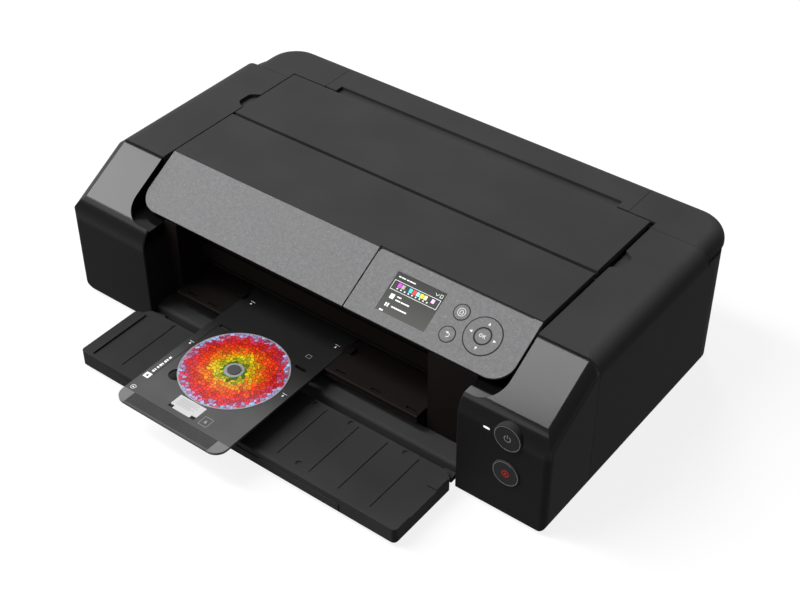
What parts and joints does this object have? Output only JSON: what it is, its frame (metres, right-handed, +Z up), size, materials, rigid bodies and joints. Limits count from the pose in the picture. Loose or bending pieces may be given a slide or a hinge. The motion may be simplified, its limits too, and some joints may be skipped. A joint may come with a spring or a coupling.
{
  "type": "disc label printer",
  "caption": "Wide desktop inkjet printer with lifting covers, a fold-down output tray and a slide-in tray that carries a printable disc.",
  "frame": {"origin": "on the desk, under the middle of the overall box with the disc tray out", "axes": "+X to the machine's right as its user faces it, +Y to its back, +Z up"},
  "size_m": [0.639, 0.5082, 0.1716],
  "materials": {
    "shell_black": "smooth semi-gloss",
    "cover_black": "fine satin",
    "speckled_grey": "metallic speckle paint",
    "tray_black": "fine texture",
    "tray_grey": "fine texture",
    "clip_grey": "light moulding",
    "hub_black": "smooth",
    "disc_print": "inkjet print on a polycarbonate disc",
    "screen": "clear window over a colour display",
    "key_grey": "smooth semi-gloss",
    "lamp_white": "lit diffuser",
    "circuit_board": "solder mask",
    "rubber": "moulded",
    "sheet_steel": "zinc-plated sheet",
    "turned_steel": "ground shaft",
    "inner_black": "moulded",
    "gear_white": "acetal",
    "motor_steel": "plated can",
    "tank_plastic": "translucent tank",
    "ink_felt": "absorbent felt",
    "supply_case": "moulded case",
    "screw_zinc": "black zinc"
  },
  "bodies": {
    "housing": {"base_pan": "cover_black", "left_side_cover": "cover_black", "right_side_cover": "cover_black", "left_front_bezel": "shell_black", "right_front_bezel": "shell_black", "rear_cap": "cover_black", "rear_panel": "cover_black", "control_panel": "speckled_grey", "display_screen": "screen", "control_board": "circuit_board", "rubber_feet": "rubber", "platen": "inner_black", "carriage_rail": "sheet_steel", "side_frames": "sheet_steel", "timing_belt": "rubber", "carriage_motor": "motor_steel", "feed_motor": "motor_steel", "pinch_rollers": "turned_steel", "pinch_holders": "inner_black", "purge_unit": "inner_black", "waste_ink_pad": "ink_felt", "power_supply": "supply_case", "main_board": "circuit_board", "disc_guide": "tray_black", "power_inlet": "inner_black", "port_block": "inner_black", "case_screws": "screw_zinc", "paper_chute": "inner_black", "power_lamp": "lamp_white", "inner_fascia": "tray_black"},
    "top_cover": {"top_cover": "cover_black", "cover_fascia": "speckled_grey"},
    "rear_tray_cover": {"rear_tray_cover": "cover_black"},
    "manual_feed_cover": {"manual_feed_cover": "cover_black"},
    "output_tray": {"output_tray": "tray_black"},
    "tray_extension": {"tray_extension": "tray_black"},
    "disc_tray": {"disc_tray": "tray_grey", "tray_clip": "clip_grey", "disc_hub": "hub_black"},
    "disc": {"printable_disc": "disc_print"},
    "carriage": {"carriage": "inner_black", "print_head": "inner_black", "ink_tanks": "tank_plastic"},
    "drive_pulley": {"drive_pulley": "gear_white"},
    "idler_pulley": {"idler_pulley": "gear_white"},
    "feed_roller": {"feed_roller": "turned_steel", "feed_gear": "gear_white"},
    "eject_roller": {"eject_roller": "turned_steel", "eject_gear": "gear_white"},
    "idler_gear": {"idler_gear": "gear_white"},
    "motor_pinion": {"motor_pinion": "gear_white"},
    "pickup_roller": {"pickup_roller": "rubber"},
    "left_edge_guide": {"left_edge_guide": "inner_black"},
    "right_edge_guide": {"right_edge_guide": "inner_black"},
    "power_button": {"power_button": "key_grey"},
    "stop_button": {"stop_button": "key_grey"},
    "home_button": {"home_button": "key_grey"},
    "back_button": {"back_button": "key_grey"},
    "ok_button": {"ok_button": "key_grey"},
    "direction_pad": {"direction_pad": "key_grey"}
  },
  "joints": [
    {"name": "top_cover_hinge", "type": "hinge", "parent": "housing", "child": "top_cover", "pos_m": [0, 0.0766, 0.1656], "axis": [-1, 0, 0], "range_deg": [0, 55]},
    {"name": "rear_tray_cover_hinge", "type": "hinge", "parent": "housing", "child": "rear_tray_cover", "pos_m": [0, 0.1865, 0.1656], "axis": [-1, 0, 0], "range_deg": [0, 100]},
    {"name": "manual_feed_cover_hinge", "type": "hinge", "parent": "housing", "child": "manual_feed_cover", "pos_m": [0, 0.2496, 0.066], "axis": [-1, 0, 0], "range_deg": [0, 30]},
    {"name": "output_tray_fold", "type": "hinge", "parent": "housing", "child": "output_tray", "pos_m": [0, -0.1075, 0.0135], "axis": [-1, 0, 0], "range_deg": [0, 6]},
    {"name": "tray_extension_slide", "type": "slide", "parent": "output_tray", "child": "tray_extension", "axis": [0, -1, 0], "range_m": [0, 0.07]},
    {"name": "disc_tray_slide", "type": "slide", "parent": "housing", "child": "disc_tray", "axis": [0, -1, 0], "range_m": [-0.19, 0]},
    {"name": "disc_lift", "type": "slide", "parent": "disc_tray", "child": "disc", "axis": [0, 0, 1], "range_m": [0, 0.03]},
    {"name": "carriage_slide", "type": "slide", "parent": "housing", "child": "carriage", "axis": [1, 0, 0], "range_m": [-0.38, 0]},
    {"name": "drive_pulley_spin", "type": "hinge", "parent": "housing", "child": "drive_pulley", "pos_m": [0.268, 0.0625, 0.112], "axis": [0, 1, 0], "range_deg": [0, 2725]},
    {"name": "idler_pulley_spin", "type": "hinge", "parent": "housing", "child": "idler_pulley", "pos_m": [-0.24, 0.0625, 0.112], "axis": [0, 1, 0], "range_deg": [0, 2725]},
    {"name": "feed_roller_spin", "type": "hinge", "parent": "housing", "child": "feed_roller", "pos_m": [0, 0.078, 0.0343], "axis": [1, 0, 0], "continuous": true},
    {"name": "eject_roller_spin", "type": "hinge", "parent": "housing", "child": "eject_roller", "pos_m": [0, -0.007, 0.0363], "axis": [1, 0, 0], "continuous": true},
    {"name": "idler_gear_spin", "type": "hinge", "parent": "housing", "child": "idler_gear", "pos_m": [-0.267, 0.03612, 0.06161], "axis": [1, 0, 0], "continuous": true},
    {"name": "motor_pinion_spin", "type": "hinge", "parent": "housing", "child": "motor_pinion", "pos_m": [-0.267, 0.10558, 0.03916], "axis": [1, 0, 0], "continuous": true},
    {"name": "pickup_roller_spin", "type": "hinge", "parent": "housing", "child": "pickup_roller", "pos_m": [0.0065, 0.11136, 0.09588], "axis": [1, 0, 0], "continuous": true},
    {"name": "left_edge_guide_slide", "type": "slide", "parent": "housing", "child": "left_edge_guide", "axis": [1, 0, 0], "range_m": [0, 0.1]},
    {"name": "right_edge_guide_slide", "type": "slide", "parent": "housing", "child": "right_edge_guide", "axis": [1, 0, 0], "range_m": [-0.1, 0]},
    {"name": "power_button_press", "type": "slide", "parent": "housing", "child": "power_button", "axis": [0, 1, 0], "range_m": [0, 0.002], "stiffness_N_per_m": 400},
    {"name": "stop_button_press", "type": "slide", "parent": "housing", "child": "stop_button", "axis": [0, 1, 0], "range_m": [0, 0.001], "stiffness_N_per_m": 400},
    {"name": "home_button_press", "type": "slide", "parent": "housing", "child": "home_button", "axis": [0, 0.5, -0.866], "range_m": [0, 0.0006], "stiffness_N_per_m": 400},
    {"name": "back_button_press", "type": "slide", "parent": "housing", "child": "back_button", "axis": [0, 0.5, -0.866], "range_m": [0, 0.0006], "stiffness_N_per_m": 400},
    {"name": "ok_button_press", "type": "slide", "parent": "housing", "child": "ok_button", "axis": [0, 0.5, -0.866], "range_m": [0, 0.0006], "stiffness_N_per_m": 400},
    {"name": "direction_pad_press", "type": "slide", "parent": "housing", "child": "direction_pad", "axis": [0, 0.5, -0.866], "range_m": [0, 0.0006], "stiffness_N_per_m": 400}
  ],
  "couplings": [
    {"joint": "drive_pulley_spin", "follows": "carriage_slide", "rad_per_m": -125},
    {"joint": "idler_pulley_spin", "follows": "carriage_slide", "rad_per_m": -125},
    {"joint": "eject_roller_spin", "follows": "feed_roller_spin", "ratio": 1},
    {"joint": "idler_gear_spin", "follows": "feed_roller_spin", "ratio": -0.66667},
    {"joint": "motor_pinion_spin", "follows": "feed_roller_spin", "ratio": -2.5},
    {"joint": "right_edge_guide_slide", "follows": "left_edge_guide_slide", "ratio": -1}
  ]
}
